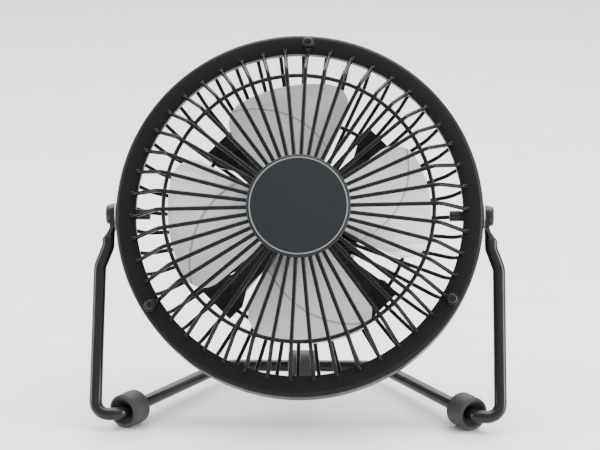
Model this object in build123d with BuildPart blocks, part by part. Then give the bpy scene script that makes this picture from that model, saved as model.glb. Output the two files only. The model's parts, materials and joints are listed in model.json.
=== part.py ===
"""Small desk fan with a tilting metal head on a bent-rod stand.

All sizes are in millimetres.  +Z is up, the fan blows towards -Y, and the
origin is on the table, under the middle of the fan.
"""

from build123d import *
from math import atan2, cos, degrees, hypot, radians, sin, sqrt
import os

os.makedirs("parts", exist_ok=True)

# ---------------------------------------------------------------- sizes
# head band
rim_radius = 70.0  # outside of the band
face_width = 7.8  # of the band's front face
rim_front = 5.1  # front face, ahead of the tilt axis
rim_crown = 0.4  # rise of the face at its middle
rim_back = -8.0  # rear edge of the band
rim_sheet = 1.0
rim_corner = 2.0
rim_edge_round = 0.9
rim_lip = 3.0  # depth of the turned-in inner edge
rest_tilt = 22.5  # backward tilt as the fan stands
pivot_y = -5.4  # tilt axis, ahead of the middle of the fan

# stand
floor_gap = 6.0  # under the band when the head is upright
tube_radius = 2.4
leg_gap = 3.4  # between band and legs
foot_radius = 6.4
foot_sink = 0.2  # flat moulded under each foot
foot_length = 9.6
rear_foot_length = 11.0
foot_recess_radius = 4.9
foot_recess_depth = 2.6
foot_chamfer = 0.8
foot_bore_gap = 0.03
foot_inset = 12.3  # front foot, inwards from the leg
foot_lead = 25.0  # front feet, ahead of the tilt axis
heel_lead = 6.0  # leg's lower bend, ahead of the foot
toe_reach = 8.0  # rod's bend, ahead of the foot along its axis
rear_bend_x = 31.5
swing_gap = 1.2  # between the turning band and the rear foot
tab_thickness = 1.6  # pressed-flat rod ends
tab_width = 8.4
tab_length = 5.5
press_length = 4.0  # from flat to round
leg_bend_start = 12.5
leg_bend_end = 20.5

# pivots
pivot_bolt_radius = 2.0
pivot_bolt_gap = 0.08
bolt_head_radius = 3.8
bolt_head_height = 1.8
bolt_length = 15.0
washer_thickness = 0.4
washer_radius = 4.6
face_gap = 0.05  # between parts that turn on each other
spring_washer_thickness = 1.0
nut_across_flats = 7.0
nut_height = 3.2

# guards
wire_radius = 0.78
weld = 0.15  # depth that crossing wires are welded into each other
guard_wires = 46
first_wire = 1.56  # degrees from the right-hand side
rear_first_wire = 3.4
eyelet_wires = [11, 27, 42]
guard_front = 18.15  # centre of the front wires
guard_slope = 9.2  # between the band's face and the wires' front bend
ring_inset = 2.35  # guard ring, inwards from the wires' bend
wire_inner_radius = 17.8
wire_foot_inset = 0.4  # second bend, outwards from the band's inner edge
eyelet_radius = 1.9
eyelet_wire_radius = 0.65  # pressed a little thinner than the straight wire
screw_offset = 0.2  # outwards from the middle of the band's face
rear_guard_back = -20.5  # centre of the rear wires
rear_slope = 9.0  # rear wires' bend, inwards from the band
rear_wire_end = -4.6
rear_ring_radius = 42.0

# centre badge
badge_radius = 19.6
badge_thickness = 1.35
badge_rise = 0.5
badge_stud_radius = 1.0
badge_stud_circle = 12.0
centre_plate_radius = 19.0
plate_thickness = 0.8

# guard screws
guard_screw_radius = 1.1
guard_screw_head_radius = 1.9
guard_screw_head_height = 1.3
guard_screw_length = 5.0

# blades
blade_clearance = 3.0  # tips, inwards from the front wires' bend
blade_count = 4
blade_sheet = 0.8
blade_plane = 3.5
blade_pitch = 18.0
blade_camber = 3.0
blade_half_angle = 33.0
blade_corner = 9.0
blade_phase = 7.0
blade_root_half_width = 4.5
wheel_disc_radius = 11.0
hub_radius = 3.5
hub_flange_radius = 6.0
hub_flange = 1.2
hub_front = 6.0
hub_back = -3.0

# motor
shaft_radius = 1.0
shaft_front = 7.5
motor_radius = 12.2
motor_wall = 0.9
motor_length = 20.0
motor_boss_radius = 3.1
motor_boss = 1.6
bush_radius = 2.3
bush_length = 3.6
running_gap = 0.03
magnet_thickness = 2.6
magnet_half_angle = 62.0
armature_gap = 0.5  # between the magnets and the armature
core_length = 10.0
pole_half_angle = 48.0
commutator_radius = 2.2
commutator_length = 2.6
end_cap_thickness = 2.5
motor_screw_radius = 0.95
motor_screw_inset = 3.7  # inwards from the can's outside

# motor bracket
bracket_front = -8.8
bracket_sheet = 1.2
bracket_disc_radius = 15.5
arm_width = 8.0
arm_foot_length = 8.0
arm_foot_width = 15.0
arm_phase = 45.0

# motor cover
cover_radius = 23.0
cover_wall = 1.8
cover_depth = 22.0
cover_round = 4.0
boss_radius = 3.1
boss_circle = 17.5
cover_screw_radius = 0.95
cover_screw_head_radius = 1.9
cover_screw_head_height = 1.4
cover_screw_seat = 6.0
fit_gap = 0.1
plate_hole_radius = 14.0

# switch
switch_width = 8.2
switch_height = 13.0
switch_depth = 8.0
bezel_width = 10.4
bezel_height = 15.2
bezel_thickness = 1.2
rocker_width = 6.2
rocker_height = 10.8
rocker_gap = 0.45
rocker_throw = 16.0

# cable outlet
outlet_offset = 16.0  # behind the cover's front edge
grommet_radius = 3.0
grommet_flange_radius = 4.2
grommet_flange = 1.0
grommet_play = 0.45  # lets the flat flanges sit on the curved wall
cable_bore_radius = 2.0

# ------------------------------------------------------- derived places
rim_inner_radius = rim_radius - face_width
screw_circle = rim_radius - face_width / 2 + screw_offset
guard_shoulder = rim_inner_radius - guard_slope
guard_ring_radius = guard_shoulder - ring_inset
rear_wire_outer = rim_radius - rim_sheet - wire_radius
rear_shoulder = rim_radius - rim_sheet - rear_slope
blade_radius = guard_shoulder - blade_clearance
pivot_height = rim_radius + floor_gap
motor_screw_circle = motor_radius - motor_screw_inset
core_radius = motor_radius - motor_wall - magnet_thickness - armature_gap
pole_width = core_radius * 13 / 41
pole_cap = core_radius * 8 / 41
core_hub_radius = core_radius * 12 / 41
coil_thickness = core_radius * 8 / 41
coil_inner = core_radius * 29 / 82
tube_z = foot_radius - foot_sink
tab_inner_x = rim_radius + washer_thickness + 2 * face_gap
tab_x = tab_inner_x + tab_thickness / 2
round_x = tab_inner_x + tube_radius
leg_x = rim_radius + leg_gap + tube_radius
foot_x = leg_x - foot_inset
foot_y = pivot_y - foot_lead
swing = hypot(rim_radius, max(rim_front + rim_crown, -rim_back))
foot_reach = swing + swing_gap + foot_radius
rear_y = pivot_y + sqrt(foot_reach**2 - (pivot_height - tube_z) ** 2)

tilt = radians(rest_tilt)
forward = Vector(0, -cos(tilt), sin(tilt))
upward = Vector(0, sin(tilt), cos(tilt))
pivot = Vector(0, pivot_y, pivot_height)
head = Plane(origin=pivot, x_dir=(1, 0, 0), z_dir=forward)
head_axis = Axis(pivot, forward)
# section plane of the head: x runs outwards to the right, y runs forwards
section = Plane(origin=pivot, x_dir=(1, 0, 0), z_dir=-upward)
across = Plane(origin=pivot, x_dir=(0, 1, 0), z_dir=(1, 0, 0))
# the wires that end in an eyelet, and their screws, by angle and position
wire_step = 360 / guard_wires
screw_angles = [first_wire + i * wire_step for i in eyelet_wires]
screw_places = [
    (screw_circle * cos(radians(a)), screw_circle * sin(radians(a)))
    for a in screw_angles
]

# ================================================================ stand
heel = Vector(leg_x, foot_y - heel_lead, tube_z)
leg_top = Vector(leg_x, pivot_y, pivot_height)
leg_dir = (heel - leg_top).normalized()
foot_centre = Vector(foot_x, foot_y, tube_z)
rear_bend = Vector(rear_bend_x, rear_y, tube_z)
toe_dir = (foot_centre - rear_bend).normalized()
toe = foot_centre + toe_dir * toe_reach
round_start = tab_length + press_length
right_side = [
    Vector(round_x, pivot_y, pivot_height) + leg_dir * round_start,
    Vector(round_x, pivot_y, pivot_height) + leg_dir * leg_bend_start,
    leg_top + leg_dir * leg_bend_end,
    heel,
    toe,
    rear_bend,
]
left_side = [Vector(-p.X, p.Y, p.Z) for p in right_side]
bend_radii = [5.0, 7.0, 5.0, 4.4, 10.0]

# One steel rod: both legs, the two side runs and the rear run of the base.
# Its ends are pressed flat and drilled for the pivot bolts.
with BuildPart() as stand_frame:
    with BuildLine() as rod_line:
        FilletPolyline(
            *left_side, *reversed(right_side), radius=bend_radii + bend_radii[::-1]
        )
    with BuildSketch(Plane(origin=rod_line.line @ 0, z_dir=rod_line.line % 0)):
        Circle(tube_radius)
    sweep()
    for side in (-1, 1):
        tab_centre = Vector(side * tab_x, pivot_y, pivot_height)
        press = Plane(
            origin=tab_centre + leg_dir * tab_length, x_dir=(1, 0, 0), z_dir=leg_dir
        )
        with BuildSketch(press):
            Rectangle(tab_thickness, tab_width)
        with BuildSketch(press.offset(press_length)):
            with Locations((side * (round_x - tab_x), 0)):
                Circle(tube_radius)
        loft()
        tab = Plane(
            origin=tab_centre - Vector(tab_thickness / 2, 0, 0),
            x_dir=leg_dir,
            z_dir=(1, 0, 0),
        )
        with BuildSketch(tab):
            Circle(tab_width / 2)
            with Locations((tab_length / 2, 0)):
                Rectangle(tab_length, tab_width)
        extrude(amount=tab_thickness)
    with BuildSketch(across):
        Circle(pivot_bolt_radius + pivot_bolt_gap)
    extrude(amount=tab_x + tube_radius, both=True, mode=Mode.SUBTRACT)
stand_frame.part.label = "stand_frame"
export_step(stand_frame.part, "parts/stand_frame.step")

# Front feet: rubber sleeves pushed onto the rod, hollowed where it bends in.
foot_section = [
    (tube_radius + foot_bore_gap, -foot_length / 2),
    (foot_radius - foot_chamfer, -foot_length / 2),
    (foot_radius, -foot_length / 2 + foot_chamfer),
    (foot_radius, foot_length / 2 - foot_chamfer),
    (foot_radius - foot_chamfer, foot_length / 2),
    (foot_recess_radius, foot_length / 2),
    (tube_radius + foot_bore_gap, foot_length / 2 - foot_recess_depth),
]
for side, foot_name in ((-1, "foot_left"), (1, "foot_right")):
    centre = Vector(side * foot_x, foot_y, tube_z)
    along = Vector(side * toe_dir.X, toe_dir.Y, 0)
    upright = Plane(origin=centre, x_dir=(0, 0, 1), z_dir=Vector(0, 0, 1).cross(along))
    with BuildPart() as front_foot:
        with BuildSketch(upright):
            with BuildLine():
                Polyline(*foot_section, close=True)
            make_face()
        revolve(axis=Axis(centre, along))
        with Locations((centre.X, centre.Y, -foot_radius)):
            Box(
                4 * foot_radius,
                4 * foot_radius,
                2 * foot_radius,
                mode=Mode.SUBTRACT,
            )
    front_foot.part.label = foot_name
    export_step(front_foot.part, "parts/" + foot_name + ".step")

# Rear foot: a plain sleeve at the middle of the rear run.
with BuildPart() as foot_rear:
    with BuildSketch(Plane(origin=(0, rear_y, tube_z), z_dir=(1, 0, 0))):
        Circle(foot_radius)
        Circle(tube_radius + foot_bore_gap, mode=Mode.SUBTRACT)
    extrude(amount=rear_foot_length / 2, both=True)
    outer = foot_rear.edges().filter_by(GeomType.CIRCLE)
    chamfer(outer.filter_by(lambda e: e.radius > tube_radius + 1), foot_chamfer)
    with Locations((0, rear_y, -foot_radius)):
        Box(4 * foot_radius, 4 * foot_radius, 2 * foot_radius, mode=Mode.SUBTRACT)
foot_rear.part.label = "foot_rear"
export_step(foot_rear.part, "parts/foot_rear.step")

# Nylon washers between the rod ends and the band, one each side.
with BuildPart() as pivot_washers:
    for side in (-1, 1):
        inner_face = side * (rim_radius + face_gap)
        with BuildSketch(across.offset(inner_face)):
            Circle(washer_radius)
            Circle(pivot_bolt_radius + pivot_bolt_gap, mode=Mode.SUBTRACT)
        extrude(amount=side * washer_thickness)
pivot_washers.part.label = "pivot_washers"
export_step(pivot_washers.part, "parts/pivot_washers.step")

# ========================================================== head: band
# Sheet band with a crowned front face and a turned-in inner edge.
rim_face_in = rim_front - rim_sheet
with BuildPart() as rim_band:
    with BuildSketch(section) as rim_section:
        with BuildLine():
            ThreePointArc(
                (rim_radius, rim_front),
                ((rim_radius + rim_inner_radius) / 2, rim_front + rim_crown),
                (rim_inner_radius, rim_front),
            )
            Polyline(
                (rim_inner_radius, rim_front),
                (rim_inner_radius, rim_front - rim_lip),
                (rim_inner_radius + rim_sheet, rim_front - rim_lip),
                (rim_inner_radius + rim_sheet, rim_face_in),
                (rim_radius - rim_sheet, rim_face_in),
                (rim_radius - rim_sheet, rim_back),
                (rim_radius, rim_back),
                (rim_radius, rim_front),
            )
        make_face()
        front_corners = rim_section.vertices().filter_by_position(
            Axis.Y, rim_front - 0.01, rim_front + 0.01
        )
        fillet(front_corners.sort_by(Axis.X)[-1], rim_corner)
        fillet(front_corners.sort_by(Axis.X)[0], rim_edge_round)
    revolve(axis=head_axis)
    with BuildSketch(across):
        Circle(pivot_bolt_radius + pivot_bolt_gap)
    extrude(amount=rim_radius + 1, both=True, mode=Mode.SUBTRACT)
    with BuildSketch(head.offset(rim_front + 1)):
        with Locations(*screw_places):
            Circle(guard_screw_radius)
    extrude(amount=-2 - rim_sheet, mode=Mode.SUBTRACT)
rim_band.part.label = "rim_band"
export_step(rim_band.part, "parts/rim_band.step")

# ======================================================== head: pivots
# One bolt a side, from outside the rod's end to a nut inside the band.
bolt_head_x = tab_inner_x + tab_thickness + face_gap
bolt_tip_x = bolt_head_x - bolt_length
with BuildPart() as pivot_bolts:
    for side in (-1, 1):
        with BuildSketch(across.offset(side * bolt_tip_x)):
            Circle(pivot_bolt_radius)
        extrude(amount=side * bolt_length)
        with BuildSketch(across.offset(side * bolt_head_x)):
            Circle(bolt_head_radius)
        extrude(amount=side * bolt_head_height)
    rims = pivot_bolts.edges().filter_by(GeomType.CIRCLE)
    outer_rims = rims.filter_by(
        lambda e: abs(abs(e.center().X) - bolt_head_x - bolt_head_height) < 0.01
    )
    fillet(outer_rims, 1.0)
    for side in (-1, 1):
        with BuildSketch(across.offset(side * (bolt_head_x + bolt_head_height))):
            Rectangle(4.0, 0.8)
            Rectangle(0.8, 4.0)
        extrude(amount=-side * 1.0, mode=Mode.SUBTRACT)
pivot_bolts.part.label = "pivot_bolts"
export_step(pivot_bolts.part, "parts/pivot_bolts.step")

band_inside_x = rim_radius - rim_sheet - fit_gap
with BuildPart() as spring_washers:
    for side in (-1, 1):
        with BuildSketch(across.offset(side * band_inside_x)):
            Circle(nut_across_flats / 2)
            Circle(pivot_bolt_radius + fit_gap, mode=Mode.SUBTRACT)
        extrude(amount=-side * spring_washer_thickness)
spring_washers.part.label = "spring_washers"
export_step(spring_washers.part, "parts/spring_washers.step")

with BuildPart() as pivot_nuts:
    for side in (-1, 1):
        with BuildSketch(
            across.offset(side * (band_inside_x - spring_washer_thickness))
        ):
            RegularPolygon(nut_across_flats / 2, 6, major_radius=False)
            Circle(pivot_bolt_radius, mode=Mode.SUBTRACT)
        extrude(amount=-side * nut_height)
pivot_nuts.part.label = "pivot_nuts"
export_step(pivot_nuts.part, "parts/pivot_nuts.step")

# ======================================================== head: guards
# One front wire: flat across the front, back to the band, flat on its face.
wire_end_z = rim_front + rim_crown + wire_radius
wire_foot = rim_inner_radius + wire_foot_inset
wire_end = screw_circle - guard_screw_head_radius - fit_gap
with BuildPart() as front_wire:
    with BuildLine(section) as front_wire_line:
        FilletPolyline(
            (wire_inner_radius, guard_front),
            (guard_shoulder, guard_front),
            (wire_foot, wire_end_z),
            (wire_end, wire_end_z),
            radius=[3.0, 2.0],
        )
    wire_start = front_wire_line.line @ 0
    with BuildSketch(Plane(wire_start, x_dir=forward, z_dir=front_wire_line.line % 0)):
        Circle(wire_radius)
    sweep()

# One eyelet: the end of a longer wire, bent round a guard screw.
with BuildPart() as eyelet:
    with BuildSketch(section):
        with Locations((screw_circle + eyelet_radius, wire_end_z)):
            Circle(eyelet_wire_radius)
    revolve(axis=Axis(section.from_local_coords((screw_circle, wire_end_z)), forward))

# Front guard: the wires, three eyelets and the ring welded behind the wires.
ring_front = guard_front - 2 * wire_radius + weld
front_wires = [
    front_wire.part.rotate(head_axis, first_wire + i * wire_step)
    for i in range(guard_wires)
]
eyelets = [eyelet.part.rotate(head_axis, a) for a in screw_angles]
with BuildPart() as front_guard:
    with BuildSketch(section):
        with Locations((guard_ring_radius, ring_front)):
            Circle(wire_radius)
    revolve(axis=head_axis)
    add(front_wires + eyelets)
front_guard.part.label = "front_guard"
export_step(front_guard.part, "parts/front_guard.step")

screw_seat = wire_end_z + eyelet_wire_radius
with BuildPart() as guard_screws:
    for place in screw_places:
        with BuildSketch(head.offset(screw_seat)):
            with Locations(place):
                Circle(guard_screw_head_radius)
        extrude(amount=guard_screw_head_height)
    head_rims = guard_screws.edges().filter_by(GeomType.CIRCLE)
    fillet(
        head_rims.filter_by(
            lambda e: head.to_local_coords(e.center()).Z > screw_seat + 1
        ),
        0.6,
    )
    for place in screw_places:
        with BuildSketch(head.offset(screw_seat)):
            with Locations(place):
                Circle(guard_screw_radius)
        extrude(amount=-guard_screw_length)
        with BuildSketch(head.offset(screw_seat + guard_screw_head_height)):
            with Locations(place):
                Rectangle(2.2, 0.5)
                Rectangle(0.5, 2.2)
        extrude(amount=-0.7, mode=Mode.SUBTRACT)
guard_screws.part.label = "guard_screws"
export_step(guard_screws.part, "parts/guard_screws.step")

# Centre badge: a shallow domed disc on three studs.
badge_back = guard_front + wire_radius
badge_front = badge_back + badge_thickness
stud_places = PolarLocations(badge_stud_circle, 3, start_angle=90)
with BuildPart() as centre_badge:
    with BuildSketch(section) as badge_section:
        with BuildLine():
            ThreePointArc(
                (-badge_radius, badge_front),
                (0, badge_front + badge_rise),
                (badge_radius, badge_front),
            )
            Line((badge_radius, badge_front), (badge_radius, badge_back))
            Line((badge_radius, badge_back), (-badge_radius, badge_back))
            Line((-badge_radius, badge_back), (-badge_radius, badge_front))
        make_face()
        edge_corners = badge_section.vertices().filter_by_position(
            Axis.Y, badge_front - 0.01, badge_front + 0.01
        )
        fillet(edge_corners, 0.9)
        split(bisect_by=Plane.YZ, keep=Keep.TOP)
    revolve(axis=head_axis)
    with BuildSketch(head.offset(badge_back)):
        with stud_places:
            Circle(badge_stud_radius)
    extrude(amount=-2 * wire_radius - plate_thickness - 0.6)
centre_badge.part.label = "centre_badge"
export_step(centre_badge.part, "parts/centre_badge.step")

# Disc behind the inner wire ends, which are welded to it.
with BuildPart() as guard_centre_plate:
    with BuildSketch(head.offset(guard_front - wire_radius)):
        Circle(centre_plate_radius)
        with stud_places:
            Circle(badge_stud_radius + fit_gap, mode=Mode.SUBTRACT)
    extrude(amount=-plate_thickness)
guard_centre_plate.part.label = "guard_centre_plate"
export_step(guard_centre_plate.part, "parts/guard_centre_plate.step")

# One rear wire: welded inside the band, back and in to the motor plate.
with BuildPart() as rear_wire:
    with BuildLine(section) as rear_wire_line:
        FilletPolyline(
            (plate_hole_radius + 1.5, rear_guard_back),
            (rear_shoulder, rear_guard_back),
            (rear_wire_outer, rim_back - 1.0),
            (rear_wire_outer, rear_wire_end),
            radius=[5.0, 3.0],
        )
    wire_start = rear_wire_line.line @ 0
    with BuildSketch(Plane(wire_start, x_dir=-forward, z_dir=rear_wire_line.line % 0)):
        Circle(wire_radius)
    sweep()

# Rear guard: a basket of wires on one ring, which carries the bracket.
ring_back = rear_guard_back + 2 * wire_radius - weld
with BuildPart() as rear_guard:
    with BuildSketch(section):
        with Locations((rear_ring_radius, ring_back)):
            Circle(wire_radius)
    revolve(axis=head_axis)
    add(
        [
            rear_wire.part.rotate(head_axis, rear_first_wire + i * wire_step)
            for i in range(guard_wires)
        ]
    )
rear_guard.part.label = "rear_guard"
export_step(rear_guard.part, "parts/rear_guard.step")

# Flat ring behind the inner ends of the rear wires; the cover screws to it.
plate_back = rear_guard_back - wire_radius - plate_thickness
boss_places = PolarLocations(boss_circle, 3, start_angle=90)
with BuildPart() as rear_plate:
    with BuildSketch(head.offset(plate_back)):
        Circle(cover_radius)
        Circle(plate_hole_radius, mode=Mode.SUBTRACT)
        with boss_places:
            Circle(cover_screw_radius, mode=Mode.SUBTRACT)
    extrude(amount=plate_thickness)
rear_plate.part.label = "rear_plate"
export_step(rear_plate.part, "parts/rear_plate.step")

# ============================================================== blades
# One pressed blade: a cambered sheet set at the pitch, cut to its outline.
pitch = radians(blade_pitch)
chord_dir = upward * cos(pitch) - forward * sin(pitch)
blade_root = Vector(wheel_disc_radius - 5, 0, 0)
blade_centre = pivot + forward * blade_plane
half_chord = blade_radius * sin(radians(blade_half_angle)) / cos(pitch) + 2
with BuildPart() as blade:
    with BuildSketch(
        Plane(blade_centre + blade_root, x_dir=chord_dir, z_dir=(1, 0, 0))
    ):
        with BuildLine():
            ThreePointArc(
                (-half_chord, blade_sheet / 2 + blade_camber),
                (0, blade_sheet / 2),
                (half_chord, blade_sheet / 2 + blade_camber),
            )
            ThreePointArc(
                (-half_chord, -blade_sheet / 2 + blade_camber),
                (0, -blade_sheet / 2),
                (half_chord, -blade_sheet / 2 + blade_camber),
            )
            for end in (-half_chord, half_chord):
                Line(
                    (end, -blade_sheet / 2 + blade_camber),
                    (end, blade_sheet / 2 + blade_camber),
                )
        make_face()
    extrude(amount=blade_radius)
    with BuildSketch(head.offset(-blade_radius)) as blade_outline:
        with BuildLine():
            tip = CenterArc(
                (0, 0), blade_radius, -blade_half_angle, 2 * blade_half_angle
            )
            Polyline(
                tip @ 1,
                (wheel_disc_radius - 4, blade_root_half_width),
                (wheel_disc_radius - 4, -blade_root_half_width),
                tip @ 0,
            )
        make_face()
        fillet(blade_outline.vertices().sort_by(Axis.X)[-2:], blade_corner)
    extrude(amount=2 * blade_radius, mode=Mode.INTERSECT)

# Four blades and their centre disc, one piece of thin aluminium.
disc_front = blade_plane + blade_sheet / 2
with BuildPart() as fan_blades:
    with BuildSketch(head.offset(disc_front - blade_sheet)):
        Circle(wheel_disc_radius)
    extrude(amount=blade_sheet)
    add(
        [
            blade.part.rotate(head_axis, blade_phase + i * 360 / blade_count)
            for i in range(blade_count)
        ]
    )
    with BuildSketch(head.offset(-blade_radius)):
        Circle(hub_radius)
    extrude(amount=2 * blade_radius, mode=Mode.SUBTRACT)
fan_blades.part.label = "fan_blades"
export_step(fan_blades.part, "parts/fan_blades.step")

# Brass hub: pressed on the shaft, its flange against the disc's front.
with BuildPart() as blade_hub:
    with BuildSketch(head.offset(hub_back)):
        Circle(hub_radius)
    extrude(amount=hub_front - hub_back)
    with BuildSketch(head.offset(disc_front)):
        Circle(hub_flange_radius)
    extrude(amount=hub_flange)
    with BuildSketch(head.offset(hub_back)):
        Circle(shaft_radius)
    extrude(amount=hub_front - hub_back, mode=Mode.SUBTRACT)
blade_hub.part.label = "blade_hub"
export_step(blade_hub.part, "parts/blade_hub.step")

# =============================================================== motor
motor_front = bracket_front - bracket_sheet
motor_back = motor_front - motor_length
can_inner = motor_radius - motor_wall

# Cross-shaped sheet bracket: a disc for the motor and four arms, which slope
# back to wide feet welded on the ring of the rear guard.
arm_foot_front = ring_back + wire_radius + bracket_sheet
arm_foot_start = rear_ring_radius - arm_foot_length / 2
arm_foot_end = rear_ring_radius + arm_foot_length / 2
with BuildPart() as bracket_arm:
    with BuildSketch(Plane(pivot, x_dir=(1, 0, 0), z_dir=-upward)):
        with BuildLine():
            Polyline(
                (bracket_disc_radius - 4, bracket_front),
                (bracket_disc_radius + 1, bracket_front),
                (arm_foot_start, arm_foot_front),
                (arm_foot_end, arm_foot_front),
                (arm_foot_end, arm_foot_front - bracket_sheet),
                (arm_foot_start - 0.4, arm_foot_front - bracket_sheet),
                (bracket_disc_radius + 0.6, bracket_front - bracket_sheet),
                (bracket_disc_radius - 4, bracket_front - bracket_sheet),
                close=True,
            )
        make_face()
    extrude(amount=arm_foot_width, both=True)
    with BuildSketch(head.offset(-3 * blade_radius)) as arm_outline:
        with BuildLine():
            Polyline(
                (bracket_disc_radius - 5, arm_width / 2),
                (arm_foot_start - 5, arm_width / 2),
                (arm_foot_start + 1, arm_foot_width / 2),
                (arm_foot_end + 1, arm_foot_width / 2),
                (arm_foot_end + 1, -arm_foot_width / 2),
                (arm_foot_start + 1, -arm_foot_width / 2),
                (arm_foot_start - 5, -arm_width / 2),
                (bracket_disc_radius - 5, -arm_width / 2),
                close=True,
            )
        make_face()
    extrude(amount=6 * blade_radius, mode=Mode.INTERSECT)
with BuildPart() as motor_bracket:
    with BuildSketch(head.offset(bracket_front)):
        Circle(bracket_disc_radius)
    extrude(amount=-bracket_sheet)
    add([bracket_arm.part.rotate(head_axis, arm_phase + 90 * i) for i in range(4)])
    with BuildSketch(head.offset(bracket_front)):
        Circle(motor_boss_radius + fit_gap)
        with Locations((-motor_screw_circle, 0), (motor_screw_circle, 0)):
            Circle(motor_screw_radius + fit_gap)
    extrude(amount=-bracket_sheet, mode=Mode.SUBTRACT)
motor_bracket.part.label = "motor_bracket"
export_step(motor_bracket.part, "parts/motor_bracket.step")

# Drawn steel can with a boss for the front bush.
with BuildPart() as motor_can:
    with BuildSketch(head.offset(motor_front)):
        Circle(motor_radius)
    extrude(amount=-motor_length)
    with BuildSketch(head.offset(motor_front)):
        Circle(motor_boss_radius)
    extrude(amount=motor_boss)
    with BuildSketch(head.offset(motor_front - motor_wall)):
        Circle(can_inner)
    extrude(amount=-motor_length, mode=Mode.SUBTRACT)
    with BuildSketch(head.offset(motor_front + motor_boss)):
        Circle(bush_radius)
    extrude(amount=-motor_boss - motor_wall, mode=Mode.SUBTRACT)
    with BuildSketch(head.offset(motor_front)):
        with Locations((-motor_screw_circle, 0), (motor_screw_circle, 0)):
            Circle(motor_screw_radius)
    extrude(amount=-motor_wall, mode=Mode.SUBTRACT)
    front_edges = motor_can.edges().filter_by(GeomType.CIRCLE)
    fillet(
        front_edges.filter_by(
            lambda e: abs(e.radius - motor_radius) < 0.01
            and head.to_local_coords(e.center()).Z > motor_front - 1
        ),
        0.8,
    )
motor_can.part.label = "motor_can"
export_step(motor_can.part, "parts/motor_can.step")

with BuildPart() as motor_screws:
    with BuildSketch(head.offset(bracket_front)):
        with Locations((-motor_screw_circle, 0), (motor_screw_circle, 0)):
            Circle(motor_screw_radius)
    extrude(amount=-bracket_sheet - motor_wall - 0.6)
    with BuildSketch(head.offset(bracket_front)):
        with Locations((-motor_screw_circle, 0), (motor_screw_circle, 0)):
            Circle(2 * motor_screw_radius)
    extrude(amount=1.2)
motor_screws.part.label = "motor_screws"
export_step(motor_screws.part, "parts/motor_screws.step")

# Plastic end cap with a boss for the rear bush and slots for the terminals.
cap_front = motor_back + end_cap_thickness
cap_boss_back = motor_back - 1.6
terminal_places = [(-7.0, 0), (7.0, 0)]
with BuildPart() as motor_end_cap:
    with BuildSketch(head.offset(cap_front)):
        Circle(can_inner)
    extrude(amount=-end_cap_thickness)
    with BuildSketch(head.offset(motor_back)):
        Circle(bush_radius + 1.2)
    extrude(amount=-1.6)
    with BuildSketch(head.offset(cap_front)):
        Circle(bush_radius)
    extrude(amount=cap_boss_back - cap_front, mode=Mode.SUBTRACT)
    with BuildSketch(head.offset(cap_front)):
        with Locations(*terminal_places):
            Rectangle(0.5, 2.4)
    extrude(amount=-end_cap_thickness, mode=Mode.SUBTRACT)
motor_end_cap.part.label = "motor_end_cap"
export_step(motor_end_cap.part, "parts/motor_end_cap.step")

# Two sintered bushes carry the shaft.
front_bush_front = motor_front + motor_boss
rear_bush_front = cap_boss_back + bush_length
for bush_front, bush_name in (
    (front_bush_front, "motor_front_bush"),
    (rear_bush_front, "motor_rear_bush"),
):
    with BuildPart() as bush:
        with BuildSketch(head.offset(bush_front)):
            Circle(bush_radius)
            Circle(shaft_radius + running_gap, mode=Mode.SUBTRACT)
        extrude(amount=-bush_length)
    bush.part.label = bush_name
    export_step(bush.part, "parts/" + bush_name + ".step")

with BuildPart() as motor_shaft:
    with BuildSketch(head.offset(shaft_front)):
        Circle(shaft_radius)
    extrude(amount=cap_boss_back + 0.4 - shaft_front)
motor_shaft.part.label = "motor_shaft"
export_step(motor_shaft.part, "parts/motor_shaft.step")

# Two curved magnets line the can.
core_middle = (motor_front - motor_wall + cap_front) / 2 + 1.3
magnet_length = core_length + 2.0
with BuildPart() as motor_magnets:
    with BuildSketch(head.offset(core_middle + magnet_length / 2)):
        Circle(can_inner)
        Circle(can_inner - magnet_thickness, mode=Mode.SUBTRACT)
        gap_half = can_inner * cos(radians(magnet_half_angle))
        Rectangle(2 * gap_half, 2 * motor_radius, mode=Mode.SUBTRACT)
    extrude(amount=-magnet_length)
motor_magnets.part.label = "motor_magnets"
export_step(motor_magnets.part, "parts/motor_magnets.step")

# Laminated three-pole armature on the shaft.
with BuildPart() as armature_core:
    with BuildSketch(head.offset(core_middle + core_length / 2)):
        with PolarLocations(0, 3, start_angle=90):
            with Locations((core_radius / 2, 0)):
                Rectangle(core_radius - 0.4, pole_width)
        for i in range(3):
            with BuildLine():
                start = 90 + 120 * i - pole_half_angle
                cap_outer = CenterArc((0, 0), core_radius, start, 2 * pole_half_angle)
                cap_inner = CenterArc(
                    (0, 0), core_radius - pole_cap, start, 2 * pole_half_angle
                )
                Line(cap_outer @ 0, cap_inner @ 0)
                Line(cap_outer @ 1, cap_inner @ 1)
            make_face()
        Circle(core_hub_radius)
        Circle(shaft_radius, mode=Mode.SUBTRACT)
    extrude(amount=-core_length)
armature_core.part.label = "armature_core"
export_step(armature_core.part, "parts/armature_core.step")

# A copper coil round each pole.
coil_half_width = pole_width / 2 + coil_thickness
coil_outer = sqrt((core_radius - pole_cap) ** 2 - coil_half_width**2) - fit_gap
with BuildPart() as armature_coils:
    with BuildSketch(head.offset(core_middle + core_length / 2 + coil_thickness)):
        with PolarLocations(0, 3, start_angle=90):
            with Locations(((coil_inner + coil_outer) / 2, 0)):
                RectangleRounded(
                    coil_outer - coil_inner, 2 * coil_half_width, coil_thickness * 3 / 8
                )
    extrude(amount=-core_length - 2 * coil_thickness)
    with BuildSketch(head.offset(core_middle + core_length / 2)):
        with PolarLocations(0, 3, start_angle=90):
            with Locations((core_radius / 2, 0)):
                Rectangle(core_radius, pole_width)
    extrude(amount=-core_length, mode=Mode.SUBTRACT)
armature_coils.part.label = "armature_coils"
export_step(armature_coils.part, "parts/armature_coils.step")

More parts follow.
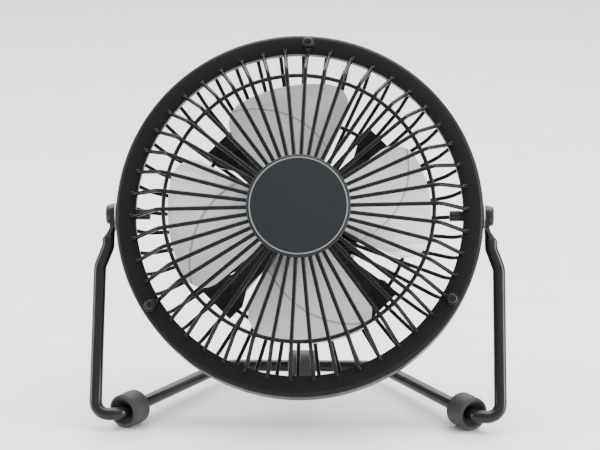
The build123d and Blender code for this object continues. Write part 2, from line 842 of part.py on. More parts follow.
commutator_front = cap_front + 0.3 + commutator_length
with BuildPart() as commutator:
    with BuildSketch(head.offset(commutator_front)):
        Circle(commutator_radius)
        Circle(shaft_radius, mode=Mode.SUBTRACT)
    extrude(amount=-commutator_length)
commutator.part.label = "commutator"
export_step(commutator.part, "parts/commutator.step")

# Leaf brushes stand on the end cap, one each side of the commutator.
brush_x = commutator_radius + 2 * face_gap
with BuildPart() as motor_brushes:
    with BuildSketch(head.offset(cap_front)):
        with Locations((-brush_x - 0.15, 0), (brush_x + 0.15, 0)):
            Rectangle(0.3, 8.0)
    extrude(amount=commutator_length)
motor_brushes.part.label = "motor_brushes"
export_step(motor_brushes.part, "parts/motor_brushes.step")

with BuildPart() as motor_terminals:
    with BuildSketch(head.offset(cap_front)):
        with Locations(*terminal_places):
            Rectangle(0.5, 2.4)
    extrude(amount=-end_cap_thickness - 3.0)
motor_terminals.part.label = "motor_terminals"
export_step(motor_terminals.part, "parts/motor_terminals.step")

# ========================================================= motor cover
cover_back = plate_back - cover_depth
outlet_z = plate_back - outlet_offset
screw_seat_z = plate_back - cover_screw_seat
with BuildPart() as motor_cover:
    with BuildSketch(head.offset(plate_back)):
        Circle(cover_radius)
    extrude(amount=-cover_depth)
    rear_rim = motor_cover.edges().filter_by(GeomType.CIRCLE)
    fillet(
        rear_rim.filter_by(
            lambda e: head.to_local_coords(e.center()).Z < cover_back + 1
        ),
        cover_round,
    )
    with BuildSketch(head.offset(plate_back)):
        Circle(cover_radius - cover_wall)
    extrude(amount=-cover_depth + cover_wall, mode=Mode.SUBTRACT)
    with BuildSketch(head.offset(plate_back)):
        with boss_places:
            Circle(boss_radius)
    extrude(amount=-cover_depth + cover_wall / 2)
    with BuildSketch(head.offset(plate_back)):
        with boss_places:
            Circle(cover_screw_radius + fit_gap)
    extrude(amount=-cover_depth, mode=Mode.SUBTRACT)
    with BuildSketch(head.offset(screw_seat_z)):
        with boss_places:
            Circle(cover_screw_head_radius + fit_gap)
    extrude(amount=-cover_depth, mode=Mode.SUBTRACT)
    with BuildSketch(head.offset(cover_back)):
        Rectangle(switch_width + 2 * fit_gap, switch_height + 2 * fit_gap)
    extrude(amount=2 * cover_wall, mode=Mode.SUBTRACT)
    outlet = Plane(pivot + forward * outlet_z, x_dir=(1, 0, 0), z_dir=-upward)
    with BuildSketch(outlet):
        Circle(grommet_radius)
    extrude(amount=cover_radius + 1, mode=Mode.SUBTRACT)
motor_cover.part.label = "motor_cover"
export_step(motor_cover.part, "parts/motor_cover.step")

with BuildPart() as cover_screws:
    with BuildSketch(head.offset(screw_seat_z)):
        with boss_places:
            Circle(cover_screw_radius)
    extrude(amount=cover_screw_seat + plate_thickness)
    with BuildSketch(head.offset(screw_seat_z)):
        with boss_places:
            Circle(cover_screw_head_radius)
    extrude(amount=-cover_screw_head_height)
cover_screws.part.label = "cover_screws"
export_step(cover_screws.part, "parts/cover_screws.step")

# Rubber grommet in the cover's underside, where the supply cable leaves.
wall_middle = cover_radius - cover_wall / 2
groove_half = cover_wall / 2 + grommet_play
with BuildPart() as cable_grommet:
    with BuildSketch(outlet.offset(wall_middle - groove_half - grommet_flange)):
        Circle(grommet_flange_radius)
    extrude(amount=2 * groove_half + 2 * grommet_flange)
    with BuildSketch(outlet.offset(wall_middle - groove_half)):
        Circle(grommet_flange_radius + 1)
        Circle(grommet_radius, mode=Mode.SUBTRACT)
    extrude(amount=2 * groove_half, mode=Mode.SUBTRACT)
    with BuildSketch(outlet):
        Circle(cable_bore_radius)
    extrude(amount=2 * cover_radius, mode=Mode.SUBTRACT)
cable_grommet.part.label = "cable_grommet"
export_step(cable_grommet.part, "parts/cable_grommet.step")

# ============================================================== switch
# Housing snapped into the cover's back, open at the back for the rocker.
pocket_depth = 5.0
with BuildPart() as switch_housing:
    with BuildSketch(head.offset(cover_back)):
        Rectangle(switch_width, switch_height)
    extrude(amount=switch_depth)
    with BuildSketch(head.offset(cover_back)):
        RectangleRounded(bezel_width, bezel_height, 1.0)
    extrude(amount=-bezel_thickness)
    with BuildSketch(head.offset(cover_back - bezel_thickness)):
        Rectangle(rocker_width + 2 * rocker_gap, rocker_height + 2 * rocker_gap)
    extrude(amount=bezel_thickness + pocket_depth, mode=Mode.SUBTRACT)
switch_housing.part.label = "switch_housing"
export_step(switch_housing.part, "parts/switch_housing.step")

# Rocker: a shallow V seen from the side, at rest with its lower end pressed in.
rocker_z = cover_back + 1.2
rocker_axis_point = pivot + forward * rocker_z
half_throw = radians(rocker_throw / 2)
reach = rocker_height / 2
crest = 3.2
rocker_up = upward * cos(half_throw) - forward * sin(half_throw)
side_plane = Plane(rocker_axis_point, x_dir=rocker_up, z_dir=(1, 0, 0))
with BuildPart() as switch_rocker:
    with BuildSketch(side_plane):
        with BuildLine():
            Polyline(
                (-reach * cos(half_throw), -crest - reach * sin(half_throw)),
                (0, -crest),
                (reach * cos(half_throw), -crest - reach * sin(half_throw)),
                (reach * cos(half_throw), -0.6),
                (1.6, 1.8),
                (-1.6, 1.8),
                (-reach * cos(half_throw), -0.6),
                close=True,
            )
        make_face()
    extrude(amount=rocker_width / 2, both=True)
switch_rocker.part.label = "switch_rocker"
export_step(switch_rocker.part, "parts/switch_rocker.step")

with BuildPart() as switch_terminals:
    with BuildSketch(head.offset(cover_back + switch_depth)):
        with Locations((0, -4.0), (0, 4.0)):
            Rectangle(2.4, 0.5)
    extrude(amount=2.2)
switch_terminals.part.label = "switch_terminals"
export_step(switch_terminals.part, "parts/switch_terminals.step")
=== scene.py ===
import json
import math

import bpy
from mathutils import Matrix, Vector


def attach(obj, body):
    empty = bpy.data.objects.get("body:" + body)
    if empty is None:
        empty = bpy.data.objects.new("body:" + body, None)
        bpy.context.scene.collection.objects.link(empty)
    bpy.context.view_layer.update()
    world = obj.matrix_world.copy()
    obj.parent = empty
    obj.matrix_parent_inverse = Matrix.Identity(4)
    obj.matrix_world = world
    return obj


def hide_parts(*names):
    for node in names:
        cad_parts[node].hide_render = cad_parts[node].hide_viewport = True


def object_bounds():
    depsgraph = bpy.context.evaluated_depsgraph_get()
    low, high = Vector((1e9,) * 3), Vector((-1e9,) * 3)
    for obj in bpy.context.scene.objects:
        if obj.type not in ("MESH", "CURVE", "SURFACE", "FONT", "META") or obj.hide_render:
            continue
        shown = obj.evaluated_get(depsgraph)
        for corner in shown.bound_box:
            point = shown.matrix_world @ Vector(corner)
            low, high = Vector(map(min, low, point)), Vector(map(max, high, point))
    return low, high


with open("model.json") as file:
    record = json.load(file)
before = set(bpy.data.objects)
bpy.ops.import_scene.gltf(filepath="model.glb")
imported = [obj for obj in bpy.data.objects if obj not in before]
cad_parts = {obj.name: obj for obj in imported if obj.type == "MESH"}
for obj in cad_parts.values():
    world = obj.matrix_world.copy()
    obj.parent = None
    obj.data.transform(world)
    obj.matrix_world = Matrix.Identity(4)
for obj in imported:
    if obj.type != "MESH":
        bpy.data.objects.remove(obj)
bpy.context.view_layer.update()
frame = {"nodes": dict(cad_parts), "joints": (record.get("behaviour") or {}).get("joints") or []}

# ---------------------------------------------------------------------------
# Camera: a little to the right of the fan's middle and above it, looking
# slightly down at a head that leans back.
bpy.ops.object.select_all(action="DESELECT")
low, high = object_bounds()
fan_middle = (low + high) / 2
camera_turn = math.radians(1.5)
camera_rise = math.radians(12.0)
camera_distance = 0.745
camera_way = Vector(
    (
        math.sin(camera_turn) * math.cos(camera_rise),
        -math.cos(camera_turn) * math.cos(camera_rise),
        math.sin(camera_rise),
    )
)
bpy.ops.object.camera_add(location=fan_middle + camera_way * camera_distance)
camera = bpy.context.object
camera.name = "camera"
camera.rotation_euler = (-camera_way).to_track_quat("-Z", "Y").to_euler()
camera.data.lens = 116.0
camera.data.clip_start = 0.01
bpy.context.scene.camera = camera

# ---------------------------------------------------------------------------
# Floor: a smooth pale table top, lacquered, so it mirrors the feet softly.
floor_size = 14.0


def start_material(name, metallic=0.0):
    """A material, its shader, and the piece's own coordinates for its pattern."""
    material = bpy.data.materials.new(name)
    material.use_nodes = True
    shader = material.node_tree.nodes["Principled BSDF"]
    shader.inputs["Metallic"].default_value = metallic
    place = material.node_tree.nodes.new("ShaderNodeTexCoord").outputs["Object"]
    return material, shader, place


def add_node(material, kind, links=(), **values):
    """One node: its values by input name, and the outputs that feed it."""
    made = material.node_tree.nodes.new(kind)
    for name, value in values.items():
        made.inputs[name.replace("_", " ")].default_value = value
    for source, target in links:
        material.node_tree.links.new(source, made.inputs[target])
    return made


def noise(material, place, scale, detail=4.0, roughness=0.55):
    """Noise with about scale bumps to the metre, from 0 to 1."""
    made = add_node(
        material,
        "ShaderNodeTexNoise",
        [(place, "Vector")],
        Scale=scale,
        Detail=detail,
        Roughness=roughness,
    )
    return made.outputs["Fac"]


def spread(material, value, low_in, high_in, low_out, high_out):
    """Maps a value from one range onto another, held at its ends."""
    made = add_node(
        material,
        "ShaderNodeMapRange",
        [(value, "Value")],
        From_Min=low_in,
        From_Max=high_in,
        To_Min=low_out,
        To_Max=high_out,
    )
    return made.outputs["Result"]


def blend_colours(material, share, colour_a, colour_b):
    """Colour a where share is 0 and colour b where it is 1."""
    made = material.node_tree.nodes.new("ShaderNodeMix")
    made.data_type = "RGBA"
    material.node_tree.links.new(share, made.inputs[0])
    for socket, colour in ((made.inputs[6], colour_a), (made.inputs[7], colour_b)):
        if isinstance(colour, tuple):
            socket.default_value = (*colour, 1.0)
        else:
            material.node_tree.links.new(colour, socket)
    return made.outputs[2]


def bump(material, shader, height, depth, strength=1.0):
    """Raises the surface by depth metres where height is 1."""
    made = add_node(
        material,
        "ShaderNodeBump",
        [(height, "Height")],
        Distance=depth,
        Strength=strength,
    )
    material.node_tree.links.new(made.outputs["Normal"], shader.inputs["Normal"])


def feed(material, shader, **sources):
    """Joins outputs to the shader's inputs by name."""
    for name, source in sources.items():
        material.node_tree.links.new(source, shader.inputs[name.replace("_", " ")])


bpy.ops.mesh.primitive_plane_add(size=floor_size, location=(0, 0, 0))
floor = bpy.context.object
floor.name = "floor"
floor_paint, shader, place = start_material("floor_paint")
cloud = noise(floor_paint, place, 6.0)
feed(
    floor_paint,
    shader,
    Base_Color=blend_colours(floor_paint, cloud, (0.90, 0.905, 0.91), (0.945, 0.945, 0.94)),
    Roughness=spread(floor_paint, noise(floor_paint, place, 40.0), 0.3, 0.7, 0.27, 0.36),
)
bump(floor_paint, shader, noise(floor_paint, place, 700.0), 0.00002)
floor.data.materials.append(floor_paint)

# ---------------------------------------------------------------------------
# Studio light: a wide soft box overhead, a tall one on each side, one over the
# table behind the fan, and a pale room that is lighter above and to the right.
room = bpy.data.worlds.new("room")
room.use_nodes = True
room.node_tree.nodes["Background"].inputs["Color"].default_value = (0.86, 0.88, 0.90, 1)
room_way = room.node_tree.nodes.new("ShaderNodeTexCoord").outputs["Generated"]
room_side = room.node_tree.nodes.new("ShaderNodeVectorMath")
room_side.operation = "DOT_PRODUCT"
room_side.inputs[1].default_value = (0.55, -0.10, 0.83)
room_level = room.node_tree.nodes.new("ShaderNodeMapRange")
room_level.inputs["From Min"].default_value = -0.6
room_level.inputs["From Max"].default_value = 0.9
room_level.inputs["To Min"].default_value = 0.40
room_level.inputs["To Max"].default_value = 1.35
room.node_tree.links.new(room_way, room_side.inputs[0])
room.node_tree.links.new(room_side.outputs["Value"], room_level.inputs["Value"])
room.node_tree.links.new(
    room_level.outputs["Result"], room.node_tree.nodes["Background"].inputs["Strength"]
)
bpy.context.scene.world = room


def soft_box(name, location, target, width, height, power):
    """A rectangular light aimed at a point."""
    bpy.ops.object.light_add(type="AREA", location=location)
    light = bpy.context.object
    light.name = name
    light.data.shape = "RECTANGLE"
    light.data.size = width
    light.data.size_y = height
    light.data.energy = power
    way = Vector(target) - Vector(location)
    light.rotation_euler = way.to_track_quat("-Z", "Y").to_euler()


soft_box("top_light", (0.05, 0.25, 1.25), fan_middle, width=1.3, height=1.0, power=30.0)
soft_box("right_light", (0.95, -0.15, 0.35), fan_middle, width=0.22, height=0.8, power=12.0)
soft_box("left_light", (-0.95, -0.05, 0.35), fan_middle, width=0.18, height=0.8, power=8.0)
soft_box("back_light", (0.0, 1.5, 1.1), (0.0, 1.1, 0.0), width=2.4, height=1.2, power=32.0)

# ---------------------------------------------------------------------------
# Stand: one steel rod, bent cold and painted gloss gunmetal with a fine
# metallic fleck. Its ends are pressed flat for the pivot bolts.
gunmetal, shader, place = start_material("gunmetal", 0.15)
fleck = add_node(
    gunmetal, "ShaderNodeTexVoronoi", [(place, "Vector")], Scale=9000.0
).outputs["Distance"]
fleck_light = spread(gunmetal, fleck, 0.0, 0.35, 1.0, 0.0)
base_tone = blend_colours(
    gunmetal,
    noise(gunmetal, place, 60.0),
    (0.008, 0.008, 0.009),
    (0.014, 0.014, 0.0155),
)
feed(
    gunmetal,
    shader,
    Base_Color=blend_colours(gunmetal, fleck_light, base_tone, (0.05, 0.05, 0.054)),
    Roughness=spread(gunmetal, noise(gunmetal, place, 180.0), 0.3, 0.7, 0.18, 0.27),
)
shader.inputs["Specular IOR Level"].default_value = 0.30
bump(gunmetal, shader, noise(gunmetal, place, 650.0, 2.0), 0.00003, 0.7)


def dress(material, *names):
    """Gives CAD nodes a material in place of their plain one."""
    for name in names:
        mesh = frame["nodes"][name].data
        mesh.materials.clear()
        mesh.materials.append(material)


dress(gunmetal, "stand_frame")

# ---------------------------------------------------------------------------
# Feet: three moulded rubber sleeves pushed onto the rod. The rubber is matt
# dark grey with a fine grain, and rubbed paler where it meets the table.
rubber, shader, place = start_material("rubber")
rubbed_height = 0.0022
height = add_node(rubber, "ShaderNodeSeparateXYZ", [(place, "Vector")]).outputs["Z"]
rubbed = spread(rubber, height, 0.0, rubbed_height, 0.8, 0.0)
grain = noise(rubber, place, 2600.0, 3.0)
tone = blend_colours(
    rubber, noise(rubber, place, 240.0), (0.022, 0.022, 0.025), (0.034, 0.034, 0.037)
)
feed(
    rubber,
    shader,
    Base_Color=blend_colours(rubber, rubbed, tone, (0.10, 0.10, 0.10)),
    Roughness=spread(rubber, grain, 0.3, 0.7, 0.48, 0.66),
)
shader.inputs["Specular IOR Level"].default_value = 0.42
bump(rubber, shader, grain, 0.00005, 0.8)
dress(rubber, "foot_left", "foot_right", "foot_rear", "cable_grommet")

# ---------------------------------------------------------------------------
# Pivots: black oxide bolts, natural nylon washers against the band, and
# zinc-plated spring washers and nuts inside it.
black_steel, shader, place = start_material("black_steel", 0.75)
feed(
    black_steel,
    shader,
    Base_Color=blend_colours(
        black_steel, noise(black_steel, place, 900.0), (0.020, 0.020, 0.022), (0.045, 0.045, 0.047)
    ),
    Roughness=spread(black_steel, noise(black_steel, place, 1500.0), 0.3, 0.7, 0.26, 0.44),
)
bump(black_steel, shader, noise(black_steel, place, 3500.0), 0.00002, 0.6)
dress(black_steel, "pivot_bolts", "guard_screws", "cover_screws")

nylon, shader, place = start_material("nylon")
feed(
    nylon,
    shader,
    Base_Color=blend_colours(nylon, noise(nylon, place, 500.0), (0.60, 0.58, 0.52), (0.70, 0.68, 0.63)),
    Roughness=spread(nylon, noise(nylon, place, 1400.0), 0.3, 0.7, 0.36, 0.52),
)
shader.inputs["Subsurface Weight"].default_value = 0.15
shader.inputs["Subsurface Radius"].default_value = (0.001, 0.001, 0.001)
bump(nylon, shader, noise(nylon, place, 2400.0), 0.00002, 0.6)
dress(nylon, "pivot_washers")

zinc, shader, place = start_material("zinc", 1.0)
spangle = add_node(zinc, "ShaderNodeTexVoronoi", [(place, "Vector")], Scale=1400.0).outputs["Color"]
feed(
    zinc,
    shader,
    Base_Color=blend_colours(zinc, noise(zinc, place, 700.0), (0.50, 0.51, 0.50), (0.62, 0.63, 0.64)),
    Roughness=spread(zinc, spangle, 0.0, 1.0, 0.24, 0.36),
)
bump(zinc, shader, noise(zinc, place, 5000.0), 0.00001, 0.6)
dress(zinc, "spring_washers", "pivot_nuts", "motor_screws")

# ---------------------------------------------------------------------------
# Band: rolled sheet steel in satin black paint, with the faint orange peel of
# a sprayed coat.
band_paint, shader, place = start_material("band_paint")
peel = noise(band_paint, place, 520.0, 2.0)
feed(
    band_paint,
    shader,
    Base_Color=blend_colours(
        band_paint, noise(band_paint, place, 45.0), (0.0065, 0.0065, 0.0072), (0.0095, 0.0095, 0.0105)
    ),
    Roughness=spread(band_paint, noise(band_paint, place, 130.0), 0.3, 0.7, 0.38, 0.47),
)
shader.inputs["Specular IOR Level"].default_value = 0.15
bump(band_paint, shader, peel, 0.00004, 0.7)
dress(band_paint, "rim_band")

# ---------------------------------------------------------------------------
# Guards: steel wire, spot-welded to its rings and dipped in gloss black
# enamel, which lies a little uneven along each wire.
enamel, shader, place = start_material("enamel")
feed(
    enamel,
    shader,
    Base_Color=blend_colours(
        enamel, noise(enamel, place, 220.0), (0.0048, 0.0048, 0.0054), (0.0078, 0.0078, 0.0085)
    ),
    Roughness=spread(enamel, noise(enamel, place, 320.0), 0.3, 0.7, 0.18, 0.30),
)
shader.inputs["Specular IOR Level"].default_value = 0.18
bump(enamel, shader, noise(enamel, place, 480.0, 2.0), 0.00003, 0.6)
dress(enamel, "front_guard", "rear_guard", "guard_centre_plate", "rear_plate", "motor_bracket")

# ---------------------------------------------------------------------------
# Centre badge: a pressed steel disc, spun to a faint circular grain, painted
# satin charcoal, with a thin pale ring just inside its edge that is a painted highlight, where the
# rolled edge catches the light.
# Radius and width of the thin pale ring on the badge: a painted highlight along its rolled edge.
badge_highlight_radius = 0.0183
badge_highlight_width = 0.00036
badge_grooves = 30000.0  # radians of the groove wave to the metre
tilt_joint = next(j for j in frame["joints"] if j["name"] == "head_tilt")
spin_joint = next(j for j in frame["joints"] if j["name"] == "blade_spin")
pivot = Vector(tilt_joint["pos_m"])
forward = Vector(spin_joint["axis"]).normalized()
head_turn = math.atan2(forward.z, -forward.y)


def head_place(material, place):
    """Coordinates of the tilted head: x right, y up, z forward, from the tilt axis."""
    made = add_node(
        material,
        "ShaderNodeMapping",
        [(place, "Vector")],
        Location=pivot,
        Rotation=(math.pi / 2 - head_turn, 0.0, 0.0),
    )
    made.vector_type = "TEXTURE"
    return made.outputs["Vector"]


def from_axis(material, head_vector):
    """Distance from the fan's axis, in metres."""
    flat = add_node(material, "ShaderNodeVectorMath", [(head_vector, 0)])
    flat.operation = "MULTIPLY"
    flat.inputs[1].default_value = (1.0, 1.0, 0.0)
    length = add_node(material, "ShaderNodeVectorMath", [(flat.outputs["Vector"], 0)])
    length.operation = "LENGTH"
    return length.outputs["Value"]


def calculate(material, operation, first, second=0.0):
    """One sum on two values, each a number or an output."""
    made = material.node_tree.nodes.new("ShaderNodeMath")
    made.operation = operation
    for socket, value in zip(made.inputs, (first, second)):
        if isinstance(value, (int, float)):
            socket.default_value = value
        else:
            material.node_tree.links.new(value, socket)
    return made.outputs[0]


def ring_mask(material, distance, radius, width, soft=0.0001):
    """1 on a ring of the given width, 0 elsewhere."""
    off = calculate(material, "SUBTRACT", distance, radius)
    size = calculate(material, "ABSOLUTE", off)
    return spread(material, size, width / 2, width / 2 + soft, 1.0, 0.0)


badge_paint, shader, place = start_material("badge_paint")
distance = from_axis(badge_paint, head_place(badge_paint, place))
badge_highlight = ring_mask(badge_paint, distance, badge_highlight_radius, badge_highlight_width)
grooves = calculate(badge_paint, "MULTIPLY", distance, badge_grooves)
wave = calculate(badge_paint, "SINE", grooves)
tone = blend_colours(
    badge_paint, noise(badge_paint, place, 160.0), (0.012, 0.0155, 0.0165), (0.016, 0.020, 0.021)
)
feed(
    badge_paint,
    shader,
    # Pale grey on that ring is a painted highlight.
    Base_Color=blend_colours(badge_paint, badge_highlight, tone, (0.26, 0.27, 0.27)),
    Roughness=spread(badge_paint, noise(badge_paint, place, 300.0), 0.3, 0.7, 0.40, 0.50),
)
shader.inputs["Specular IOR Level"].default_value = 0.22
bump(badge_paint, shader, wave, 0.000001, 0.4)
badge_back = 0.01893  # rear face, ahead of the tilt axis
badge_profile = (  # radius and height above the rear face, from the edge inwards
    (0.01960, 0.00048),
    (0.01950, 0.00080),
    (0.01925, 0.00108),
    (0.01890, 0.00126),
    (0.01855, 0.00132),
    (0.01848, 0.00125),
    (0.01812, 0.00125),
    (0.01805, 0.00137),
    (0.01600, 0.00150),
    (0.01300, 0.00162),
    (0.01000, 0.00171),
    (0.00700, 0.00178),
    (0.00400, 0.00182),
    (0.00150, 0.00184),
)
stud_count = 3
stud_circle = 0.012
stud_radius = 0.001
stud_length = 0.00296
stud_tip = 0.0002
head_right = Vector((1, 0, 0))
head_up = forward.cross(head_right)
bpy.ops.object.select_all(action="DESELECT")
bpy.ops.mesh.primitive_circle_add(
    vertices=160,
    radius=badge_profile[0][0],
    fill_type="NGON",
    location=pivot + forward * badge_back,
    rotation=(math.pi / 2 - head_turn, 0, 0),
)
badge = bpy.context.object
badge.name = "badge_disc"
bpy.ops.object.transform_apply(location=True, rotation=True, scale=True)
bpy.ops.object.mode_set(mode="EDIT")
last_radius, last_height = badge_profile[0][0], 0.0
for radius, height in badge_profile:
    bpy.ops.mesh.extrude_region_move(
        TRANSFORM_OT_translate={"value": forward * (height - last_height)}
    )
    shrink = radius / last_radius
    bpy.ops.transform.resize(
        value=(shrink, shrink, shrink),
        center_override=pivot + forward * (badge_back + height),
    )
    last_radius, last_height = radius, height
bpy.ops.mesh.select_all(action="SELECT")
bpy.ops.mesh.normals_make_consistent(inside=False)
bpy.ops.object.mode_set(mode="OBJECT")
bpy.ops.object.select_all(action="DESELECT")
bpy.ops.mesh.primitive_cylinder_add(
    vertices=24,
    radius=stud_radius,
    depth=stud_length,
    rotation=(math.pi / 2 - head_turn, 0, 0),
)
studs = [bpy.context.object]
bevel = studs[0].modifiers.new("tip", "BEVEL")
bevel.width = stud_tip
bevel.segments = 2
bpy.ops.object.modifier_apply(modifier="tip")
for i in range(1, stud_count):
    bpy.ops.object.duplicate()
    studs.append(bpy.context.object)
for i, stud in enumerate(studs):
    turn = math.pi / 2 + i * math.tau / stud_count
    outwards = head_right * math.cos(turn) + head_up * math.sin(turn)
    stud.location = pivot + outwards * stud_circle + forward * (badge_back - stud_length / 2)
for piece in studs + [badge]:
    piece.select_set(True)
bpy.context.view_layer.objects.active = badge
bpy.ops.object.join()
bpy.ops.object.transform_apply(location=True, rotation=True, scale=True)
bpy.ops.object.shade_smooth_by_angle(angle=math.radians(40))
badge.data.materials.append(badge_paint)
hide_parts("centre_badge")
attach(badge, "head")

# ---------------------------------------------------------------------------
# Blades: four blades and their centre disc, pressed from one rolled sheet of
# aluminium. The rolling leaves a fine straight grain under a satin finish, and
# the press a shallow curved crease across each blade, which stiffens it. The
# crease line is also darkened in colour, as painted shade along it.
blade_turn = math.radians(7.0)
crease_middle = (0.0104, 0.0180)  # along the blade and across it, from the fan's axis
crease_radius = 0.0336
crease_width = 0.0003
crease_slope = 0.0005
blade_step = math.pi / 2
aluminium, shader, place = start_material("aluminium", 1.0)
head_vector = head_place(aluminium, place)
stretched = add_node(
    aluminium, "ShaderNodeMapping", [(head_vector, "Vector")], Scale=(30.0, 1600.0, 30.0)
)
rolled = noise(aluminium, stretched.outputs["Vector"], 1.0, 5.0, 0.6)
axes = add_node(aluminium, "ShaderNodeSeparateXYZ", [(head_vector, "Vector")]).outputs
angle = calculate(aluminium, "ARCTAN2", axes["Y"], axes["X"])
angle = calculate(aluminium, "ADD", angle, 6 * blade_step - blade_turn + blade_step / 2)
angle = calculate(aluminium, "MODULO", angle, blade_step)
angle = calculate(aluminium, "SUBTRACT", angle, blade_step / 2)
reach = from_axis(aluminium, head_vector)
along = calculate(aluminium, "MULTIPLY", reach, calculate(aluminium, "COSINE", angle))
aside = calculate(aluminium, "MULTIPLY", reach, calculate(aluminium, "SINE", angle))
along = calculate(aluminium, "SUBTRACT", along, crease_middle[0])
aside = calculate(aluminium, "SUBTRACT", aside, crease_middle[1])
along = calculate(aluminium, "MULTIPLY", along, along)
aside = calculate(aluminium, "MULTIPLY", aside, aside)
crease_way = calculate(aluminium, "SQRT", calculate(aluminium, "ADD", along, aside))
# This mask drives both the pressed crease, as a bump, and a painted shade line along it.
crease_and_shade = ring_mask(aluminium, crease_way, crease_radius, crease_width, crease_slope)
sheet_tone = blend_colours(aluminium, rolled, (0.84, 0.85, 0.86), (0.95, 0.955, 0.96))
feed(
    aluminium,
    shader,
    # Darker grey along the crease is painted shade.
    Base_Color=blend_colours(aluminium, crease_and_shade, sheet_tone, (0.42, 0.43, 0.44)),
    Roughness=spread(aluminium, rolled, 0.3, 0.7, 0.30, 0.42),
)
pressed = calculate(aluminium, "ADD", calculate(aluminium, "MULTIPLY", rolled, 0.03), crease_and_shade)
bump(aluminium, shader, pressed, 0.0002, 0.6)
dress(aluminium, "fan_blades")

# ---------------------------------------------------------------------------
# Motor: a drawn, zinc-plated steel can with brass bushes, carried by a sheet
# bracket. Inside are ferrite magnets and a wound armature on a ground shaft.
can_steel, shader, place = start_material("can_steel", 1.0)
head_vector = head_place(can_steel, place)
drawn = add_node(
    can_steel, "ShaderNodeMapping", [(head_vector, "Vector")], Scale=(700.0, 700.0, 40.0)
)
streak = noise(can_steel, drawn.outputs["Vector"], 1.0, 4.0)
feed(
    can_steel,
    shader,
    Base_Color=blend_colours(can_steel, streak, (0.50, 0.50, 0.48), (0.64, 0.64, 0.63)),
    Roughness=spread(can_steel, streak, 0.3, 0.7, 0.24, 0.38),
)
bump(can_steel, shader, streak, 0.00001, 0.5)
dress(can_steel, "motor_can", "motor_shaft")

brass, shader, place = start_material("brass", 1.0)
feed(
    brass,
    shader,
    Base_Color=blend_colours(brass, noise(brass, place, 600.0), (0.62, 0.43, 0.18), (0.76, 0.56, 0.27)),
    Roughness=spread(brass, noise(brass, place, 1800.0), 0.3, 0.7, 0.22, 0.38),
)
bump(brass, shader, noise(brass, place, 4500.0), 0.00001, 0.6)
dress(brass, "motor_front_bush", "motor_rear_bush")
dress(brass, "motor_terminals", "switch_terminals", "blade_hub")

copper, shader, place = start_material("copper", 1.0)
turns = add_node(
    copper, "ShaderNodeTexWave", [(head_place(copper, place), "Vector")], Scale=900.0, Distortion=0.6
)
turns.bands_direction = "Z"
feed(
    copper,
    shader,
    Base_Color=blend_colours(copper, turns.outputs["Fac"], (0.42, 0.15, 0.06), (0.68, 0.30, 0.14)),
    Roughness=spread(copper, noise(copper, place, 1200.0), 0.3, 0.7, 0.20, 0.34),
)
bump(copper, shader, turns.outputs["Fac"], 0.0001, 0.8)
dress(copper, "armature_coils", "commutator", "motor_brushes")

core_steel, shader, place = start_material("core_steel", 1.0)
sheets = add_node(
    core_steel, "ShaderNodeTexWave", [(head_place(core_steel, place), "Vector")], Scale=320.0
)
sheets.bands_direction = "Z"
feed(
    core_steel,
    shader,
    Base_Color=blend_colours(core_steel, sheets.outputs["Fac"], (0.20, 0.20, 0.22), (0.40, 0.40, 0.42)),
    Roughness=spread(core_steel, noise(core_steel, place, 900.0), 0.3, 0.7, 0.36, 0.52),
)
bump(core_steel, shader, sheets.outputs["Fac"], 0.00005, 0.8)
dress(core_steel, "armature_core")

ferrite, shader, place = start_material("ferrite")
feed(
    ferrite,
    shader,
    Base_Color=blend_colours(
        ferrite, noise(ferrite, place, 800.0), (0.05, 0.05, 0.055), (0.09, 0.09, 0.095)
    ),
    Roughness=spread(ferrite, noise(ferrite, place, 1600.0), 0.3, 0.7, 0.54, 0.72),
)
bump(ferrite, shader, noise(ferrite, place, 3800.0), 0.00004, 0.8)
dress(ferrite, "motor_magnets")

# ---------------------------------------------------------------------------
# Motor cover: a moulded black cup with a spark-eroded matt grain, screwed to
# the rear plate, with the switch snapped into its back.
black_plastic, shader, place = start_material("black_plastic")
spark = noise(black_plastic, place, 2200.0, 3.0)
feed(
    black_plastic,
    shader,
    Base_Color=blend_colours(
        black_plastic, noise(black_plastic, place, 120.0), (0.019, 0.019, 0.021), (0.027, 0.027, 0.029)
    ),
    Roughness=spread(black_plastic, spark, 0.3, 0.7, 0.44, 0.62),
)
bump(black_plastic, shader, spark, 0.00006, 0.8)
dress(black_plastic, "motor_cover", "motor_end_cap", "switch_housing")

gloss_plastic, shader, place = start_material("gloss_plastic")
feed(
    gloss_plastic,
    shader,
    Base_Color=blend_colours(
        gloss_plastic, noise(gloss_plastic, place, 200.0), (0.014, 0.014, 0.015), (0.020, 0.020, 0.021)
    ),
    Roughness=spread(gloss_plastic, noise(gloss_plastic, place, 700.0), 0.3, 0.7, 0.17, 0.30),
)
bump(gloss_plastic, shader, noise(gloss_plastic, place, 900.0), 0.00001, 0.6)
dress(gloss_plastic, "switch_rocker")

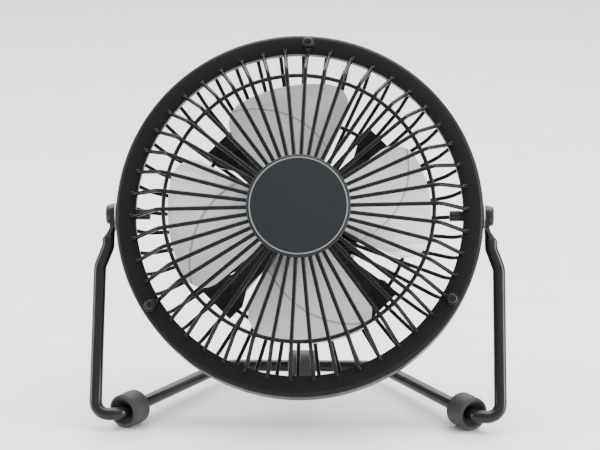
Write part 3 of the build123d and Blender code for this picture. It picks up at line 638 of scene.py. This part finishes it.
# ---------------------------------------------------------------------------
# Spot welds: where each guard wire crosses its ring the steel has melted and
# spread into a small flat bead, painted over with the rest of the guard.
wire_count = 46
front_ring_radius = 0.05065
front_ring_ahead = 0.01745
front_wire_turn = math.radians(1.56)
rear_ring_radius = 0.042
rear_ring_ahead = -0.0198
rear_wire_turn = math.radians(3.4)
bead_radius = 0.00115
bead_thickness = 0.45
bead_height = bead_radius * bead_thickness
flat_start = 0.8 * bead_height
flat_squash = 0.84
dimple_start = 0.99 * flat_squash * bead_height
dimple_squash = 0.8


def press_ends(start, squash):
    """Presses both ends of the bead, from a height above its middle outwards."""
    bpy.ops.mesh.select_all(action="DESELECT")
    bpy.ops.object.mode_set(mode="OBJECT")
    for corner in bead.data.vertices:
        corner.select = abs(corner.co.z) > start
    bpy.ops.object.mode_set(mode="EDIT")
    bpy.ops.transform.resize(value=(1.0, 1.0, squash), center_override=(0.0, 0.0, 0.0))


bpy.ops.object.select_all(action="DESELECT")
bpy.ops.mesh.primitive_uv_sphere_add(segments=16, ring_count=8, radius=bead_radius)
bead = bpy.context.object
bpy.ops.object.mode_set(mode="EDIT")
bpy.ops.transform.resize(value=(1.0, 1.0, bead_thickness))
press_ends(flat_start, flat_squash)
press_ends(dimple_start, dimple_squash)
bpy.ops.object.mode_set(mode="OBJECT")
bpy.ops.object.shade_smooth()


def weld_beads(name, radius, ahead, first_turn):
    """One bead copied to each wire of a ring, and the copies joined into one piece."""
    copies = []
    for i in range(wire_count):
        turn = first_turn + i * math.tau / wire_count
        outwards = head_right * math.cos(turn) + head_up * math.sin(turn)
        bpy.ops.object.select_all(action="DESELECT")
        bead.select_set(True)
        bpy.context.view_layer.objects.active = bead
        bpy.ops.object.duplicate()
        copy = bpy.context.object
        copy.location = pivot + outwards * radius + forward * ahead
        copy.rotation_euler = (math.pi / 2 - head_turn, 0.0, 0.0)
        copies.append(copy)
    bpy.ops.object.select_all(action="DESELECT")
    for copy in copies:
        copy.select_set(True)
    bpy.context.view_layer.objects.active = copies[0]
    bpy.ops.object.join()
    ring = bpy.context.object
    bpy.ops.object.transform_apply(location=True, rotation=True, scale=True)
    ring.name = name
    ring.data.name = name
    ring.data.materials.append(enamel)
    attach(ring, "head")


weld_beads("front_weld_beads", front_ring_radius, front_ring_ahead, front_wire_turn)
weld_beads("rear_weld_beads", rear_ring_radius, rear_ring_ahead, rear_wire_turn)
bpy.data.objects.remove(bead)
